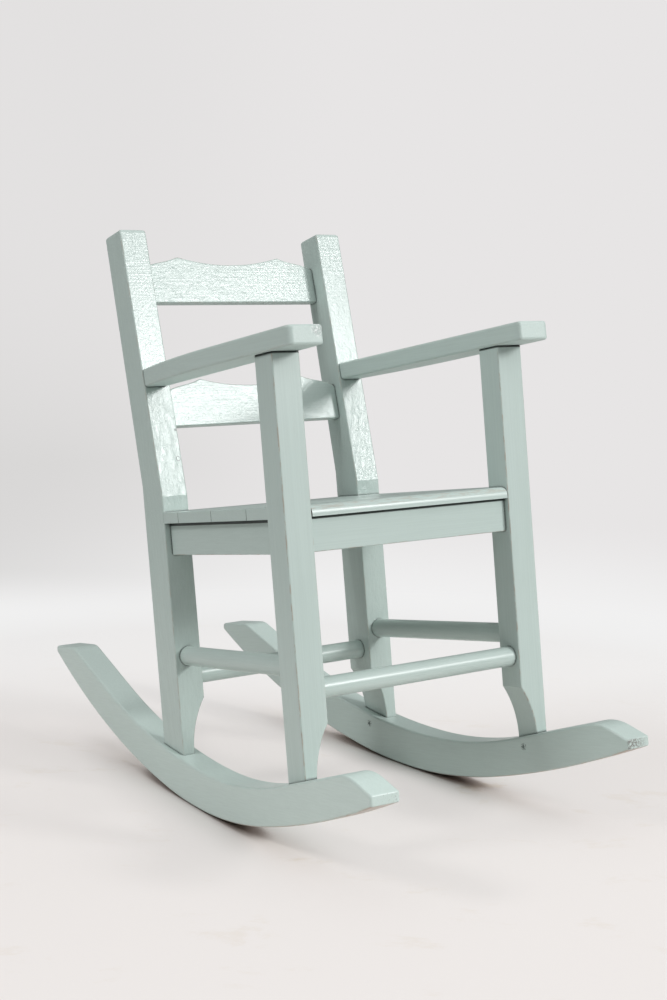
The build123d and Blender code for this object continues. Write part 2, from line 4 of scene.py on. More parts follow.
import bpy
import numpy as np
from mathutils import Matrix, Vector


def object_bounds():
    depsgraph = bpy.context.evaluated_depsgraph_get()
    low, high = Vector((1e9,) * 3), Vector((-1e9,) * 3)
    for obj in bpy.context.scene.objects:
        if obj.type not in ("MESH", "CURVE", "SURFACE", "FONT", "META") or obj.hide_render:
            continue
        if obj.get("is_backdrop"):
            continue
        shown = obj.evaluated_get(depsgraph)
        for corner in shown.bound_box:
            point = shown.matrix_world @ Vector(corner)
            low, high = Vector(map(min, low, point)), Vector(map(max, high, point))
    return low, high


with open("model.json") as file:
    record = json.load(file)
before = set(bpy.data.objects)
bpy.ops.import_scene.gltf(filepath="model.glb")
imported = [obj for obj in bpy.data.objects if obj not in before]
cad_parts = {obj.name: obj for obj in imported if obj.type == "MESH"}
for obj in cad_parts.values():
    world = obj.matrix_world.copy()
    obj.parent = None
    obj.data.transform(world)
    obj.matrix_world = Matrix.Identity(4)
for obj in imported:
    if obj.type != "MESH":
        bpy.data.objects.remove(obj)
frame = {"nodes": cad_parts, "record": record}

bl_info = {
    "name": "Painted Rocking Armchair",
    "version": (1, 0, 0),
    "blender": (4, 5, 0),
    "location": "3D View > Sidebar > Armchair",
    "description": "Finishes a child's slat-back rocking armchair in brushed satin paint",
    "category": "Object",
}

# ---- what the frame says -----------------------------------------------------
# The seat is level in the joiner's frame. The chair leans back on its rockers, so the
# seat's own up direction gives the lean, and patterns follow the wood when turned by it.
SEAT = next(mount for mount in frame["record"]["mounts"] if mount["name"] == "seat_top")
LEAN = math.atan2(SEAT["axis"][1], SEAT["axis"][2])
RAKE = math.radians(8.4)           # rear posts and slats lean back this much more
SIDES = ("left", "right")
LEG_FACE = 0.004                   # points this near a leg's front or back lie on that face


def seat_coordinates(points):
    """Points in the seat's own frame: shifted to the seat's centre, then turned level."""
    y = points[:, 1] - SEAT["pos_m"][1]
    z = points[:, 2] - SEAT["pos_m"][2]
    level_y = y * math.cos(LEAN) - z * math.sin(LEAN)
    level_z = y * math.sin(LEAN) + z * math.cos(LEAN)
    return np.stack([points[:, 0], level_y, level_z], axis=1)


def node_points(name):
    """Corner points of a frame node, in the seat's frame."""
    mesh = frame["nodes"][name].data
    points = np.empty(len(mesh.vertices) * 3)
    mesh.vertices.foreach_get("co", points)
    return seat_coordinates(points.reshape(-1, 3))


TOE_Y = float(node_points("left_rocker")[:, 1].min())
RAIL_TOP = float(node_points("left_seat_rail")[:, 2].max())


def leg_top():
    """A front leg's sloping top as height = top + slope * y, in the seat's frame."""
    points = node_points("left_front_leg")
    front, back = points[:, 1].min(), points[:, 1].max()
    heights = [points[np.abs(points[:, 1] - y) < LEG_FACE][:, 2].max() for y in (front, back)]
    slope = (heights[1] - heights[0]) / (back - front)
    return float(heights[0] - slope * front), float(slope)


# ---- colours -----------------------------------------------------------------
def linear(code):
    """sRGB hex colour as linear numbers: a power curve with a short straight foot."""
    channels = np.array([int(code[i:i + 2], 16) for i in (0, 2, 4)]) / 255
    foot, curve = channels / 12.92, ((channels + 0.055) / 1.055) ** 2.4
    return tuple(float(value) for value in np.where(channels <= 0.04045, foot, curve))


# ---- nodes -------------------------------------------------------------------
SMOOTH = {"interpolation_type": "SMOOTHSTEP"}    # Map Range as a smooth step
TIMES = {"operation": "MULTIPLY"}


def fill(tree, node, values):
    """Fills a node's sockets, in order or by name, with numbers, colours, other nodes'
    outputs, or nodes, whose first output is meant."""
    pairs = values.items() if isinstance(values, dict) else enumerate(values)
    for key, value in pairs:
        socket = node.inputs[key]
        if isinstance(value, bpy.types.Node):
            value = value.outputs[0]
        if isinstance(value, bpy.types.NodeSocket):
            tree.links.new(value, socket)
        else:
            socket.default_value = (*value[:3], 1.0) if socket.type == "RGBA" else value


def add(tree, kind, values=(), **settings):
    """Adds a shader node, sets its options and fills its sockets."""
    made = tree.nodes.new("ShaderNode" + kind)
    for key, value in settings.items():
        setattr(made, key, value)
    fill(tree, made, values)
    return made


def new_material(name):
    """Empty material with its node tree and the shader at its end."""
    material = bpy.data.materials.new(name)
    material.use_nodes = True
    tree = material.node_tree
    tree.nodes.clear()
    shader = add(tree, "BsdfPrincipled")
    add(tree, "OutputMaterial", {"Surface": shader})
    return material, tree, shader


def layered(tree, colour, layers):
    """Lays colours over a first one, each as far as its share says."""
    for share, shown in layers:
        colour = add(tree, "Mix", {0: share, 6: colour, 7: shown}, data_type="RGBA").outputs[2]
    return colour


def cell(along, length, width):
    """Size of a long pattern cell that runs along one axis."""
    return tuple(length if axis == along else width for axis in "xyz")


def laid(tree, size, turn):
    """Coordinates on the wood in cells of the given size in metres, from the middle of the
    seat and turned with the piece."""
    return add(tree, "Mapping", {
        "Vector": add(tree, "TexCoord").outputs["Object"],
        "Location": (0.0, SEAT["pos_m"][1], SEAT["pos_m"][2]),
        "Rotation": (-turn, 0.0, 0.0),
        "Scale": size,
    }, vector_type="TEXTURE")


def pattern(tree, size, turn, kind):
    """Soft noise laid on the wood, with one blob to a cell. Its kind is its detail, roughness
    and bend."""
    detail, rough, bend = kind
    return add(tree, "TexNoise", {
        "Vector": laid(tree, size, turn), "Scale": 1.0, "Detail": detail,
        "Roughness": rough, "Distortion": bend,
    })


def level_place(tree):
    """Place in the seat's frame in metres, as X, Y and Z."""
    return add(tree, "SeparateXYZ", [laid(tree, (1.0, 1.0, 1.0), LEAN)]).outputs


def level_normal(tree, turn):
    """The surface's direction, turned level, as X, Y and Z."""
    return add(tree, "SeparateXYZ", [add(tree, "Mapping", {
        "Vector": add(tree, "TexCoord").outputs["Normal"], "Rotation": (-turn, 0.0, 0.0),
    }, vector_type="TEXTURE")]).outputs


def arris(tree, along, turn):
    """One on a softened long edge and nothing on the flats: twice the product of the
    surface direction's two parts across the piece."""
    parts = level_normal(tree, turn)
    across = [parts[axis] for axis in "XYZ" if axis != along.upper()]
    size = add(tree, "Math", [add(tree, "Math", across, **TIMES)], operation="ABSOLUTE")
    return add(tree, "Math", (size, 2.0), **TIMES)


# ---- finishes ----------------------------------------------------------------
# Satin alkyd paint on planed softwood, laid on by hand with a flat bristle brush. It shows as
# a pale grey-green skin with long low ridges along each piece, the wood's pores just under
# it, fine dabs where the brush was lifted, a broad soft shine, painted shade darkening the
# joints and creases, and thin rubbed paint along the arrises.
PAINT_IOR = 1.5
AO_RAYS = 8              # rays that feel for a joint
HIGHLIGHT_WHITE = linear("E6ECEA")    # white of the painted highlight on the right arm
PLATING = linear("4B524E")

# Sizes of pattern cells and reaches, in metres.
BRISTLE = 0.0013         # one brush ridge across
STROKE = 0.110           # and along
CROSS_STROKE = 0.09      # along a ridge of the strokes across the top of a post
PORE = 0.0007            # a pore across, drawn twice its real width so that it shows
PORE_RUN = 0.008         # and along
DAB = 0.0030             # a dab left by the lifted brush
CLOUD = 0.045            # patches of glossier and duller paint, twice as long
CHIP = 0.0022            # a flake of lost paint, six times as long on an arris
SPECK = 0.0016           # a speck of grime
RUB_RUN, RUB = 0.040, 0.004    # a rubbed streak under a rocker, along and across
PLATE = 0.0011           # a speck of bare plating on a screw
CREASE_SHADE_REACH = 0.0045           # reach of the painted shade in joints and creases
RECESS = 0.002           # reach of a screw's recess, where bare dark metal is also painted shade

# Heights in the skin of paint, in metres.
CROSS_RIDGE = 0.00016    # strokes across the top of a post
HEAVY_DAB = 0.00055      # dabs on a post above the seat
HIGHLIGHT_DENT = 0.0003           # depth of the dent under the painted highlight on the arm
PORE_DEPTH = 0.6         # depth of pores as a part of the height of the ridges

# Soft noise: detail, roughness and bend.
BRUSHED = (3.0, 0.6, 0.3)
DABBED = (3.0, 0.6, 0.5)
HEAVY = (5.0, 0.65, 0.8)
CLOUDY = (2.0, 0.5, 0.0)
FLAKY = (4.0, 0.65, 0.0)
STREAKY = (4.0, 0.6, 0.0)
GRIMY = (4.0, 0.7, 0.0)
SPECKLED = (3.0, 0.6, 0.0)

# Steps: two values between which a share changes, and the share at each if it isn't 0 and 1.
# Soft noise keeps mostly to 0.3-0.7.
THIN = (0.35, 0.65)      # thick paint to thin across the brush strokes
PITS = (0.62, 0.74)      # pores
GLOSSY = (0.3, 0.7)      # glossy paint to dull
ARRIS = (0.40, 0.85)     # flat to edge
WORN = (0.44, 0.62)      # sound paint to lost paint along an arris
CREASE_SHADE = (0.40, 0.74, 0.92, 0.0)     # painted shade: shut joints or creases to open surface
UNDER = (-0.85, -0.45, 1.0, 0.0)     # surface that faces down to one that faces sideways
STREAKS = (0.38, 0.56, 0.25, 0.9)    # painted sole to rubbed sole
DIRT = (0.0, 1.0, 0.6, 0.9)          # thin grime to thick
HIGHLIGHT_SPECKS = (0.48, 0.56)    # paint to the white specks of the painted highlight on the arm
PAINTED = (0.54, 0.66)   # bare screw to painted screw
METAL = (0.0, 1.0, 0.7, 0.0)         # how metallic each is
SHEEN = (0.0, 1.0, 0.40, 0.45)       # and how rough

# Steps by place, in metres.
LEG_TOP_SHADE = (0.0024, 0.0014, 0.0, 0.9)    # painted shade: dark line under an arm, below the leg's top
SAWN = (0.0004, 0.0016, 1.0, 0.0)    # sawn end of a toe, behind its foremost point
LIP = (0.004, 0.070, 1.0, 0.0)       # lip under a toe, likewise
SIDE = (0.0, 0.001)      # right rocker to left
GRIME_EDGE = 0.004       # soft edge of the thick grime
HIGHLIGHT_REACH = (0.004, 0.010, 1.0, 0.0)     # painted highlight on the arm, from its middle
CROWN = (0.47, 0.52)     # height above the floor at which strokes go across a post
LOW = (0.36, 0.45, 1.0, 0.25)        # and at which heavy dabs thin out
NAIL_RING = (0.0022, 0.0007)     # radius and half breadth of the dark ring round a nail hole
PIT_RING = (0.0009, 0.0009)      # and round a pit

# Shares.
PORE_SHARE = 0.35        # most that pores show
RING_SHARE = 0.6         # most that a dark ring shows
LIP_SHARE = 0.8          # bare wood on the lip under a toe
HIGHLIGHT_SHARE = 0.85        # most of the painted highlight's white that shows
RAIL_SHADE_SHARE = 0.95        # most of the painted shade line on a rail
SPARSE, DENSE = 0.62, 0.49    # noise above which there is grime, on the right toe and the left
FACE = 0.15              # how much more paint a screw's face keeps than its recess
GLOSS = (-0.01, 0.02)    # how far roughness strays from its mean


class Paint:
    """Brushed satin paint whose strokes run along one axis of the wood. Ridges and dabs are
    heights in metres, pores and rubbed are shares, duller is added to the roughness, and
    the tint multiplies the colour as painted light, paler or darker by how light falls."""

    def __init__(self, name, along, turn=LEAN, ridge=0.00004, dab=0.00002, pores=0.25,
                 rubbed=0.5, duller=0.0, light_tint=1.0):
        self.look = look = bpy.context.scene.armchair_paint
        self.material, self.tree, self.shader = new_material(name)
        tree = self.tree
        strokes = pattern(tree, cell(along, STROKE, BRISTLE), turn, BRUSHED)
        grain = pattern(tree, cell(along, PORE_RUN, PORE), turn, CLOUDY)
        dabs = pattern(tree, (DAB, DAB, DAB), turn, DABBED)
        clouds = pattern(tree, cell(along, 2 * CLOUD, CLOUD), turn, CLOUDY)
        flakes = pattern(tree, cell(along, 6 * CHIP, CHIP), turn, FLAKY)
        thin = add(tree, "MapRange", (strokes, *THIN), **SMOOTH)
        pits = add(tree, "MapRange", (grain, *PITS), **SMOOTH)
        edge = add(tree, "MapRange", (arris(tree, along, turn), *ARRIS), **SMOOTH)
        worn = add(tree, "MapRange", (flakes, *WORN), **SMOOTH)
        bare = add(tree, "Math", (edge, worn), **TIMES)
        thick_paint, thin_paint = [[light_tint * part for part in colour]
                                   for colour in (look.deep, look.colour)]
        self.colour = layered(tree, thick_paint, (
            (thin, thin_paint),
            (add(tree, "Math", (pits, pores * PORE_SHARE), **TIMES), look.shade),
            (add(tree, "Math", (bare, rubbed * look.wear), **TIMES), look.wood)))
        spread = [look.roughness + duller + stray for stray in GLOSS]
        self.gloss = add(tree, "MapRange", (clouds, *GLOSSY, *spread), **SMOOTH)
        self.height = add(tree, "Math", (strokes, ridge), **TIMES)
        self.raise_by(dabs, dab)
        self.raise_by(pits, -PORE_DEPTH * ridge * pores)

    def show(self, share, under):
        """Lets another colour show where share is one."""
        self.colour = layered(self.tree, self.colour, [(share, under)])

    def raise_by(self, shape, height):
        """Adds a shape to the height of the skin."""
        part = add(self.tree, "Math", (shape, height), **TIMES)
        self.height = add(self.tree, "Math", (self.height, part), operation="ADD")

    def finish(self):
        """Paints shade into the joints and creases and links everything to the shader."""
        tree = self.tree
        # Painted shade: joints and creases darken where ambient occlusion finds them shut.
        occlusion = add(tree, "AmbientOcclusion", {"Distance": CREASE_SHADE_REACH}, samples=AO_RAYS)
        self.show(add(tree, "MapRange", (occlusion.outputs["AO"], *CREASE_SHADE), **SMOOTH),
                  self.look.shade_and_rings)
        fill(tree, self.shader, {
            "Base Color": self.colour, "Roughness": self.gloss, "IOR": PAINT_IOR,
            "Normal": add(tree, "Bump", {"Height": self.height, "Distance": 1.0})})
        return self.material


def cover(names, material):
    """Gives frame nodes one material."""
    for name in names:
        for slot in frame["nodes"][name].material_slots:
            slot.material = material


def paint_group(names, title, along, **finish):
    """Paints frame nodes with strokes along one axis."""
    cover(names, Paint("satin paint, " + title, along, **finish).finish())


def leg_paint():
    """Paint on the front legs, with a line of painted shade along their tops, under the arms.
    """
    skin = Paint("satin paint, front legs", "z", pores=0.2, rubbed=0.9)
    tree = skin.tree
    place = level_place(tree)
    top, slope = leg_top()
    rise = add(tree, "Math", (place["Y"], slope), **TIMES)
    height = add(tree, "Math", (place["Z"], rise), operation="SUBTRACT")
    # Painted shade: the gap under each arm drawn as a dark line at the leg's top.
    start, end, *shares = LEG_TOP_SHADE
    line = add(tree, "MapRange", (height, top - start, top - end, *shares), **SMOOTH)
    skin.show(line, skin.look.shade_and_rings)
    return skin.finish()


def rail_paint(title, along, line):
    """Paint on a seat rail, with a line of painted shade of the given height under the boards.
    The line is full above four fifths of it."""
    skin = Paint("satin paint, " + title, along, rubbed=1.0)
    tree = skin.tree
    height = level_place(tree)["Z"]
    # Painted shade: the gap under the boards drawn as a dark line along the rail's top.
    ends = (RAIL_TOP - line, RAIL_TOP - 0.8 * line)
    dark = add(tree, "MapRange", (height, *ends, 0.0, RAIL_SHADE_SHARE), **SMOOTH)
    skin.show(dark, skin.look.shade_and_rings)
    return skin.finish()


def rocker_paint(side, light_tint):
    """Paint on a rocker: rubbed to bare brown wood under the sole, and chipped and grimy on
    the sawn end of its toe."""
    # The tint is painted light: this rocker is paler or darker by how light falls on it.
    skin = Paint("satin paint, " + side + " rocker", "y", pores=0.15, rubbed=0.12, light_tint=light_tint)
    tree, look = skin.tree, skin.look
    place = level_place(tree)
    sawn, toe = [
        add(tree, "MapRange", (place["Y"], TOE_Y + start, TOE_Y + end, *shares), **SMOOTH)
        for start, end, *shares in (SAWN, LIP)]

    up = level_normal(tree, 0.0)["Z"]
    under = add(tree, "MapRange", (up, *UNDER), **SMOOTH)
    rubs = pattern(tree, cell("y", RUB_RUN, RUB), LEAN, STREAKY)
    streaks = add(tree, "MapRange", (rubs, *STREAKS), **SMOOTH)
    sole = add(tree, "Math", (under, streaks), **TIMES)
    lip = add(tree, "Math", (add(tree, "Math", (under, toe), **TIMES), LIP_SHARE), **TIMES)
    skin.show(add(tree, "Math", (sole, lip), operation="MAXIMUM"), look.wood)

    specks = pattern(tree, (SPECK, SPECK, SPECK), LEAN, GRIMY)
    least = add(tree, "MapRange", (place["X"], *SIDE, SPARSE, DENSE), **SMOOTH)
    spots = add(tree, "Math", (specks, least), operation="GREATER_THAN")
    grime = add(tree, "Math", (sawn, spots), **TIMES)
    ends = (look.grime_from, look.grime_from + GRIME_EDGE)
    thick = add(tree, "MapRange", (place["X"], *ends), **SMOOTH)
    dirt = add(tree, "MapRange", (thick, *DIRT), **SMOOTH)
    skin.show(add(tree, "Math", (grime, dirt), **TIMES), look.grime)
    return skin.finish()


def post_paint():
    """Paint on the rear posts: brushed across at the top, heavily dabbed above the seat, with
    a filled nail hole and a small pit in the right one."""
    turn = LEAN + RAKE / 2
    skin = Paint("satin paint, rear posts", "z", turn=turn, dab=0.00018, pores=0.3,
                 duller=-0.065)
    tree, look = skin.tree, skin.look
    place = add(tree, "TexCoord").outputs["Object"]
    height = add(tree, "SeparateXYZ", [place]).outputs["Z"]

    across = pattern(tree, (CROSS_STROKE, CROSS_STROKE, BRISTLE), turn, BRUSHED)
    crown = add(tree, "MapRange", (height, *CROWN), **SMOOTH)
    skin.raise_by(add(tree, "Math", (across, crown), **TIMES), CROSS_RIDGE)

    heavy = pattern(tree, (2 * DAB, 2 * DAB, 4 * DAB), turn, HEAVY)
    low = add(tree, "MapRange", (height, *LOW), **SMOOTH)
    skin.raise_by(add(tree, "Math", (heavy, low), **TIMES), HEAVY_DAB)

    for spot, (radius, rim) in ((look.nail_hole, NAIL_RING), (look.pit, PIT_RING)):
        reach = add(tree, "VectorMath", (place, tuple(spot)), operation="DISTANCE")
        off = add(tree, "Math", (reach.outputs["Value"], radius), operation="SUBTRACT")
        away = add(tree, "Math", [off], operation="ABSOLUTE")
        ring = add(tree, "MapRange", (away, 0.3 * rim, rim, RING_SHARE, 0.0), **SMOOTH)
        skin.show(ring, look.shade_and_rings)
    return skin.finish()


def arm_paint(side, light_tint):
    """Paint on an arm: duller where hands rest. A painted highlight of white specks, in a
    shallow dent, sits at the top inner corner of the right arm's front end."""
    # The tint is painted light: this arm is paler or darker by how light falls on it.
    skin = Paint("satin paint, " + side + " arm", "y", pores=0.2, rubbed=0.2, duller=0.13,
                 dab=0.00014, light_tint=light_tint)
    tree = skin.tree
    reach = add(tree, "VectorMath", (add(tree, "TexCoord").outputs["Object"],
                                     tuple(skin.look.glinting)), operation="DISTANCE")
    near = add(tree, "MapRange", (reach.outputs["Value"], *HIGHLIGHT_REACH), **SMOOTH)
    # Painted highlight: white specks near the right arm's front corner.
    glint_specks = pattern(tree, (CHIP, CHIP, CHIP), LEAN, DABBED)
    glinting = add(tree, "MapRange", (glint_specks, *HIGHLIGHT_SPECKS), **SMOOTH)
    patch = add(tree, "Math", (near, glinting), **TIMES)
    skin.show(add(tree, "Math", (patch, HIGHLIGHT_SHARE), **TIMES), HIGHLIGHT_WHITE)
    skin.raise_by(patch, -HIGHLIGHT_DENT)
    return skin.finish()


def zinc_steel():
    """Zinc-plated steel screw brushed over with the chair's paint: a painted head with bare
    dark grey specks, most of them in its recess, whose darkness is painted shade as well."""
    look = bpy.context.scene.armchair_paint
    material, tree, shader = new_material("zinc-plated steel, painted over")
    specks = pattern(tree, (PLATE, PLATE, PLATE), LEAN, SPECKLED)
    # Painted shade in part: where ambient occlusion finds the recess, more bare dark metal
    # shows.
    occlusion = add(tree, "AmbientOcclusion", {"Distance": RECESS}, samples=AO_RAYS)
    face = add(tree, "Math", (occlusion.outputs["AO"], FACE), **TIMES)
    paint = add(tree, "Math", (specks, face), operation="ADD")
    painted = add(tree, "MapRange", (paint, *PAINTED), **SMOOTH)
    fill(tree, shader, {
        "Base Color": layered(tree, PLATING, [(painted, look.deep)]),
        "Metallic": add(tree, "MapRange", (painted, *METAL), **SMOOTH),
        "Roughness": add(tree, "MapRange", (painted, *SHEEN), **SMOOTH)})
    return material


# ---- settings ----------------------------------------------------------------
class PaintSettings(bpy.types.PropertyGroup):
    """Colours and wear of the paint."""

    colour: bpy.props.FloatVectorProperty(
        name="Paint", description="Main colour of the paint", subtype="COLOR",
        default=linear("BBCAC5"), min=0.0, max=1.0)
    deep: bpy.props.FloatVectorProperty(
        name="Thick paint", description="Colour where the paint lies thick", subtype="COLOR",
        default=linear("B7C6C1"), min=0.0, max=1.0)
    shade: bpy.props.FloatVectorProperty(
        name="Pores", description="Colour in the wood's pores", subtype="COLOR",
        default=linear("7F918A"), min=0.0, max=1.0)
    wood: bpy.props.FloatVectorProperty(
        name="Bare wood", description="Colour where the paint is rubbed through",
        subtype="COLOR", default=linear("A58A78"), min=0.0, max=1.0)
    # Painted shade: colour of the shade painted into joints, creases and the gaps under arms
    # and boards, and of the dark rings round holes.
    shade_and_rings: bpy.props.FloatVectorProperty(
        name="Joints", description="Colour of the unpainted lines in joints and round holes",
        subtype="COLOR", default=linear("2B322F"), min=0.0, max=1.0)
    grime: bpy.props.FloatVectorProperty(
        name="Grime", description="Colour of the grime on the toes", subtype="COLOR",
        default=linear("767470"), min=0.0, max=1.0)
    grime_from: bpy.props.FloatProperty(
        name="Grime starts",
        description="Where the grime grows dark on the left toe, from the middle",
        unit="LENGTH", default=0.134)
    roughness: bpy.props.FloatProperty(
        name="Roughness", description="Roughness of the dry paint", subtype="FACTOR",
        default=0.30, min=0.0, max=1.0)
    wear: bpy.props.FloatProperty(
        name="Wear", description="How far the arrises are rubbed bare", subtype="FACTOR",
        default=0.6, min=0.0, max=1.0)
    nail_hole: bpy.props.FloatVectorProperty(
        name="Nail hole", description="Place of a filled nail hole", subtype="TRANSLATION",
        unit="LENGTH", default=(-0.1103, 0.0790, 0.3353))
    # Painted highlight: place of the white specks at the right arm's front corner.
    glinting: bpy.props.FloatVectorProperty(
        name="Flaked paint", description="Place of a patch of flaked paint on the right arm",
        subtype="TRANSLATION", unit="LENGTH", default=(-0.1195, -0.1725, 0.4775))
    pit: bpy.props.FloatVectorProperty(
        name="Pit", description="Place of a small pit in the paint", subtype="TRANSLATION",
        unit="LENGTH", default=(-0.1084, 0.0880, 0.3632))


class StageSettings(bpy.types.PropertyGroup):
    """Floor, backdrop, lamps and camera."""

    floor: bpy.props.FloatVectorProperty(
        name="Floor", description="Colour of the floor", subtype="COLOR",
        default=linear("E9E4E1"), min=0.0, max=1.0)
    far_floor: bpy.props.FloatVectorProperty(
        name="Far floor", description="How the floor away from the chair lights it",
        subtype="COLOR", default=linear("868584"), min=0.0, max=1.0)
    backdrop: bpy.props.FloatVectorProperty(
        name="Backdrop", description="Colour that the camera sees behind the chair",
        subtype="COLOR", default=linear("E7E5E5"), min=0.0, max=1.0)
    depth: bpy.props.FloatProperty(
        name="Depth", description="From the chair to the backdrop", unit="LENGTH", default=4.0)
    sweep: bpy.props.FloatProperty(
        name="Sweep", description="Radius of the curve from floor to backdrop", unit="LENGTH",
        default=1.5)
    key: bpy.props.FloatProperty(
        name="Key lamp", description="Power of the key lamp", unit="POWER", default=107.0)
    front: bpy.props.FloatProperty(
        name="Front lamp", description="Power of the broad lamp in front", unit="POWER",
        default=58.0)
    fill: bpy.props.FloatProperty(
        name="Fill lamp", description="Power of the fill lamp", unit="POWER", default=47.0)
    walls: bpy.props.FloatProperty(
        name="Walls", description="Brightness of the white room's walls", default=0.15)
    ceiling: bpy.props.FloatProperty(
        name="Ceiling", description="How much brighter the room is overhead", default=0.95)


# ---- stage -------------------------------------------------------------------
# Camera: standing in front of the chair's right side, a little above the seat.
CAMERA_AT = (-0.96979, -1.36202, 0.54503)
CAMERA_TURN = (78.4213, -1.0277, -35.8784)     # degrees
CAMERA_LENS = 60.139
CAMERA_SHIFT = (0.00394, 0.09037)
SENSOR = 36.0
CLIP_START = 0.05

# Lamps: size in metres, azimuth to the right of the chair's front and height above the floor
# in degrees, and distance in metres from the middle of the chair.
LAMPS = {
    "key": (0.9, 35.0, 24.8, 5.0),
    "front": (3.0, 25.0, 34.0, 5.0),
    "fill": (0.9, -104.0, 40.0, 4.0),
}

FLOOR_WIDE = 12.0
FLOOR_FRONT = -5.0
WALL_HIGH = 5.0
SWEEP_STEPS = 24

# Floor. Metres off are from the chair's middle, metres ahead and across are as the camera
# faces.
SCUFF = (0.12, 0.07, 0.1)           # a scuff: across, ahead and up
MARKED = (7.0, 0.7, 0.3)            # soft noise of the scuffs
SCUFFS = (0.57, 0.68)               # clean floor to scuff
SCUFFED = (0.0, 0.5, 0.45, 0.12)    # metres ahead: plain scuffs to faint
CLEAN = (0.45, 1.1)                 # metres off: floor's own colour to a cleaner one
DIM = (0.6, 1.3)                    # metres off: floor that lights the chair to a darker one
CONTACT_SHADE_REACH = 0.02                        # reach of the painted brown contact shadow under the rockers
CONTACT_SHADE = (0.28, 0.66, 0.8, 0.0)    # painted contact shadow to open floor
SHADOW = 0.06                       # reach of the shadows that stay as they are
OPEN = (0.52, 0.95, 0.0, 0.58)      # shadow to open floor: how far its light is evened out
EVEN = (0.4, 1.0)                   # metres off: partly evened out to wholly
REAR = (0.1, 0.5)                   # metres ahead: even light at the front to the back
FADE = (0.6, 1.9)                   # metres off: even floor to backdrop
ACROSS = (-0.75, 0.1, 1.0, 0.0)     # metres across: darker patch of painted shade on the backdrop to the rest
AHEAD = (0.75, 1.15)                # metres ahead: where the patch starts
BEYOND = (2.4, 4.0, 1.0, 0.3)       # metres ahead: where it grows faint
PATCHED = 0.8                       # most that it shows
FLOOR_ROUGH = 0.7

CLEAN_FLOOR = linear("E7E7E7")
SCUFFED_FLOOR = linear("D6C8B2")
CONTACT_SHADE_BROWN = linear("6B564A")
FRONT_GLOW = linear("EAE6E4")
REAR_GLOW = linear("F3F3F3")
SHADED_PATCH_GLOW = linear("D5D4D3")


def sweep_surface(depth, radius):
    """Floor, quarter turn and wall in one sheet. The profile is a straight floor, then
    y = depth - radius + radius sin a and z = radius - radius cos a, then a straight wall;
    it is carried straight from side to side."""
    angle = np.linspace(0, math.pi / 2, SWEEP_STEPS)
    y = np.concatenate([[FLOOR_FRONT], depth - radius + radius * np.sin(angle), [depth]])
    z = np.concatenate([[0.0], radius - radius * np.cos(angle), [WALL_HIGH]])
    across = np.array([-FLOOR_WIDE / 2, FLOOR_WIDE / 2])
    grid_x, grid_y = np.meshgrid(across, y)
    grid_z = np.repeat(z[:, None], 2, axis=1)
    points = np.stack([grid_x, grid_y, grid_z], axis=-1).reshape(-1, 3)
    row = np.arange(len(y) - 1) * 2
    faces = np.stack([row, row + 1, row + 3, row + 2], axis=1)
    mesh = bpy.data.meshes.new("floor_sweep")
    mesh.from_pydata(points.tolist(), [], faces.tolist())
    mesh.shade_smooth()
    return mesh


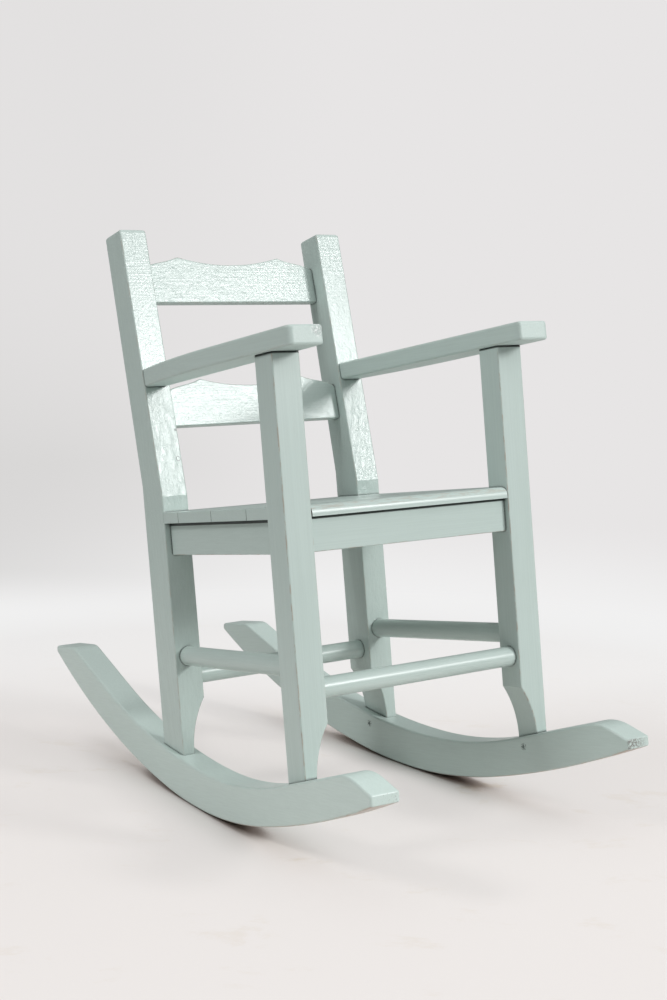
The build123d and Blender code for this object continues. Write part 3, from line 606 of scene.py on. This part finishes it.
def floor_material(stage):
    """Matt white floor paint with faint scuffs, and a painted brown contact shadow where the
    rockers meet it. To the camera, its light is partly evened out near the chair and wholly
    further off, where it fades into a backdrop with a darker patch of painted shade on one
    side. Other rays meet a darker floor away from the chair."""
    material, tree, shader = new_material("matt white floor paint")
    place = add(tree, "TexCoord").outputs["Object"]
    facing = add(tree, "Mapping", {
        "Vector": place, "Rotation": (0.0, 0.0, math.radians(CAMERA_TURN[2]))},
        vector_type="TEXTURE")
    across, ahead, _ = add(tree, "SeparateXYZ", [facing]).outputs
    reach = add(tree, "VectorMath", [place], operation="LENGTH").outputs["Value"]
    seen = add(tree, "LightPath").outputs["Is Camera Ray"]
    # Painted shade: a brown contact shadow where the rockers meet the floor.
    contact_occlusion, occlusion = [
        add(tree, "AmbientOcclusion", {"Distance": distance}, samples=AO_RAYS).outputs["AO"]
        for distance in (CONTACT_SHADE_REACH, SHADOW)]
    clean, dim, even, fade = [add(tree, "MapRange", (reach, *step), **SMOOTH)
                              for step in (CLEAN, DIM, EVEN, FADE)]

    detail, rough, bend = MARKED
    marks = add(tree, "TexNoise", {
        "Vector": add(tree, "Mapping", {"Vector": facing, "Scale": SCUFF},
                      vector_type="TEXTURE"),
        "Scale": 1.0, "Detail": detail, "Roughness": rough, "Distortion": bend})
    scuffs = add(tree, "Math", (
        add(tree, "MapRange", (marks, *SCUFFS), **SMOOTH),
        add(tree, "MapRange", (ahead, *SCUFFED), **SMOOTH)), **TIMES)
    unseen = add(tree, "Math", (dim, seen), operation="SUBTRACT")
    fill(tree, shader, {"Roughness": FLOOR_ROUGH, "Base Color": layered(tree, stage.floor, (
        (clean, CLEAN_FLOOR),
        (scuffs, SCUFFED_FLOOR),
        (add(tree, "MapRange", (contact_occlusion, *CONTACT_SHADE), **SMOOTH), CONTACT_SHADE_BROWN),
        (add(tree, "Math", (unseen, 0.0), operation="MAXIMUM"), stage.far_floor)))})

    # Painted shade: a darker patch on one side of the backdrop.
    sideways = add(tree, "MapRange", (across, *ACROSS), **SMOOTH)
    further, above = [add(tree, "MapRange", (ahead, *step), **SMOOTH)
                      for step in (AHEAD, BEYOND)]
    patch = add(tree, "Math", (sideways, further), **TIMES)
    patch = add(tree, "Math", (patch, above), **TIMES)
    glow = layered(tree, FRONT_GLOW, (
        (add(tree, "MapRange", (ahead, *REAR), **SMOOTH), REAR_GLOW),
        (fade, stage.backdrop),
        (add(tree, "Math", (patch, PATCHED), **TIMES), SHADED_PATCH_GLOW)))
    evened = add(tree, "Math", (
        add(tree, "MapRange", (occlusion, *OPEN), **SMOOTH), even), operation="MAXIMUM")
    both = add(tree, "MixShader", (
        add(tree, "Math", (evened, seen), **TIMES), shader,
        add(tree, "Emission", {"Color": glow, "Strength": 1.0})))
    out = next(node for node in tree.nodes if node.type == "OUTPUT_MATERIAL")
    fill(tree, out, {"Surface": both})
    return material


def white_room(stage):
    """World: a white room, brighter overhead by the square of the direction's rise, that
    lights the chair and is seen as the backdrop's colour."""
    world = bpy.data.worlds.new("white room")
    bpy.context.scene.world = world
    world.use_nodes = True
    tree = world.node_tree
    tree.nodes.clear()
    rise = add(tree, "SeparateXYZ", [add(tree, "TexCoord").outputs["Generated"]]).outputs["Z"]
    above = add(tree, "Math", (rise, 0.0), operation="MAXIMUM")
    square = add(tree, "Math", (above, above), **TIMES)
    overhead = add(tree, "Math", (square, stage.ceiling), **TIMES)
    strength = add(tree, "Math", (overhead, stage.walls), operation="ADD")
    add(tree, "OutputWorld", {"Surface": add(tree, "MixShader", (
        add(tree, "LightPath").outputs["Is Camera Ray"],
        add(tree, "Background", ((1.0, 1.0, 1.0), strength)),
        add(tree, "Background", (stage.backdrop, 1.0))))})


def lamp(name, power, size, azimuth, height, distance, target):
    """Square lamp that faces a target, placed by azimuth, height and distance."""
    turn = math.radians(azimuth)
    rise = math.radians(height)
    aim = np.array([math.sin(turn) * math.cos(rise), -math.cos(turn) * math.cos(rise),
                    math.sin(rise)])
    data = bpy.data.lights.new(name, "AREA")
    data.energy = power
    data.size = size
    piece = bpy.data.objects.new(name, data)
    piece.location = np.array(target) + aim * distance
    piece.rotation_euler = (math.pi / 2 - rise, 0.0, turn)
    bpy.context.collection.objects.link(piece)


def place_camera():
    """Camera with a longish normal lens, shifted up a little to frame the chair."""
    data = bpy.data.cameras.new("camera")
    data.lens = CAMERA_LENS
    data.sensor_width = SENSOR
    data.sensor_fit = "AUTO"
    data.shift_x, data.shift_y = CAMERA_SHIFT
    data.clip_start = CLIP_START
    camera = bpy.data.objects.new("camera", data)
    camera.location = CAMERA_AT
    camera.rotation_euler = [math.radians(angle) for angle in CAMERA_TURN]
    bpy.context.collection.objects.link(camera)
    bpy.context.scene.camera = camera


# ---- operators ---------------------------------------------------------------
# Painted light: the rockers and arms are paler or darker copies of one paint, by how light
# falls on each.
ROCKER_LIGHT_TINTS = {"left": 0.98, "right": 1.13}
ARM_LIGHT_TINTS = {"left": 1.06, "right": 1.03}


class PaintRockers(bpy.types.Operator):
    """Paint both rockers, worn at the toes and soles"""

    bl_idname = "armchair.paint_rockers"
    bl_label = "Rockers"

    def execute(self, context):
        for side, light_tint in ROCKER_LIGHT_TINTS.items():
            cover([side + "_rocker"], rocker_paint(side, light_tint))
        return {"FINISHED"}


class PaintLegs(bpy.types.Operator):
    """Paint the front legs"""

    bl_idname = "armchair.paint_legs"
    bl_label = "Front legs"

    def execute(self, context):
        cover([side + "_front_leg" for side in SIDES], leg_paint())
        return {"FINISHED"}


class PaintPosts(bpy.types.Operator):
    """Paint the rear posts"""

    bl_idname = "armchair.paint_posts"
    bl_label = "Rear posts"

    def execute(self, context):
        cover([side + "_rear_post" for side in SIDES], post_paint())
        return {"FINISHED"}


class PaintArms(bpy.types.Operator):
    """Paint both arms, duller where hands rest"""

    bl_idname = "armchair.paint_arms"
    bl_label = "Arms"

    def execute(self, context):
        for side, light_tint in ARM_LIGHT_TINTS.items():
            cover([side + "_arm"], arm_paint(side, light_tint))
        return {"FINISHED"}


class PaintSlats(bpy.types.Operator):
    """Paint the back slats, where the wood's grain shows most"""

    bl_idname = "armchair.paint_slats"
    bl_label = "Back slats"

    def execute(self, context):
        for level, ridge in (("upper", 0.00010), ("lower", 0.00014)):
            paint_group([level + "_back_slat"], level + " back slat", "x", turn=LEAN + RAKE,
                        ridge=ridge, dab=0.00020, pores=0.7, duller=-0.06)
        return {"FINISHED"}


class PaintSeat(bpy.types.Operator):
    """Paint the seat boards and the rails under them"""

    bl_idname = "armchair.paint_seat"
    bl_label = "Seat"

    def execute(self, context):
        boards = [name for name in frame["nodes"] if name.startswith("seat_board")]
        paint_group(boards, "seat boards", "x", pores=0.3)
        cover(["front_seat_rail", "rear_seat_rail"], rail_paint("cross rails", "x", 0.0026))
        cover([side + "_seat_rail" for side in SIDES], rail_paint("side rails", "y", 0.0034))
        return {"FINISHED"}


class PaintStretchers(bpy.types.Operator):
    """Paint the four round stretchers"""

    bl_idname = "armchair.paint_stretchers"
    bl_label = "Stretchers"

    def execute(self, context):
        for ends, title, along in ((("front", "rear"), "cross stretchers", "x"),
                                   (SIDES, "side stretchers", "y")):
            paint_group([end + "_stretcher" for end in ends], title, along, pores=0.2,
                        rubbed=0.0)
        return {"FINISHED"}


class FinishFasteners(bpy.types.Operator):
    """Finish screws and nails"""

    bl_idname = "armchair.finish_fasteners"
    bl_label = "Screws and nails"

    def execute(self, context):
        cover(["rocker_screws", "arm_screws"], zinc_steel())
        paint_group(["seat_nails"], "nail heads", "x", rubbed=0.0)
        return {"FINISHED"}


class BuildStage(bpy.types.Operator):
    """Build the floor, the lamps and the camera"""

    bl_idname = "armchair.build_stage"
    bl_label = "Stage"

    def execute(self, context):
        stage = context.scene.armchair_stage
        sweep = bpy.data.objects.new("floor_sweep", sweep_surface(stage.depth, stage.sweep))
        sweep.data.materials.append(floor_material(stage))
        context.collection.objects.link(sweep)
        sweep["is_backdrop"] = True
        white_room(stage)
        low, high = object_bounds()
        middle = [(a + b) / 2 for a, b in zip(low, high)]
        for name, setting in LAMPS.items():
            lamp(name + "_lamp", getattr(stage, name), *setting, middle)
        place_camera()
        context.scene.view_settings.view_transform = "Standard"
        return {"FINISHED"}


# ---- panel -------------------------------------------------------------------
PIECES = (PaintRockers, PaintLegs, PaintPosts, PaintArms, PaintSlats, PaintSeat,
          PaintStretchers, FinishFasteners, BuildStage)


class ArmchairPanel(bpy.types.Panel):
    """Sidebar panel with the settings and one button for each group of pieces."""

    bl_idname = "VIEW3D_PT_armchair"
    bl_label = "Rocking Armchair"
    bl_space_type = "VIEW_3D"
    bl_region_type = "UI"
    bl_category = "Armchair"

    def draw(self, context):
        for group in (context.scene.armchair_paint, context.scene.armchair_stage):
            box = self.layout.box()
            for name in group.__annotations__:
                box.prop(group, name)
        for piece in PIECES:
            self.layout.operator(piece.bl_idname)


CLASSES = (PaintSettings, StageSettings) + PIECES + (ArmchairPanel,)


def register():
    """Adds the settings, operators and panel."""
    for one in CLASSES:
        bpy.utils.register_class(one)
    bpy.types.Scene.armchair_paint = bpy.props.PointerProperty(type=PaintSettings)
    bpy.types.Scene.armchair_stage = bpy.props.PointerProperty(type=StageSettings)


def unregister():
    """Takes them away again."""
    del bpy.types.Scene.armchair_stage
    del bpy.types.Scene.armchair_paint
    for one in reversed(CLASSES):
        bpy.utils.unregister_class(one)


def main():
    """Registers the add-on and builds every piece."""
    register()
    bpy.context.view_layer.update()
    bpy.ops.armchair.paint_rockers()
    bpy.ops.armchair.paint_legs()
    bpy.ops.armchair.paint_posts()
    bpy.ops.armchair.paint_arms()
    bpy.ops.armchair.paint_slats()
    bpy.ops.armchair.paint_seat()
    bpy.ops.armchair.paint_stretchers()
    bpy.ops.armchair.finish_fasteners()
    bpy.ops.armchair.build_stage()


if __name__ == "__main__":
    main()
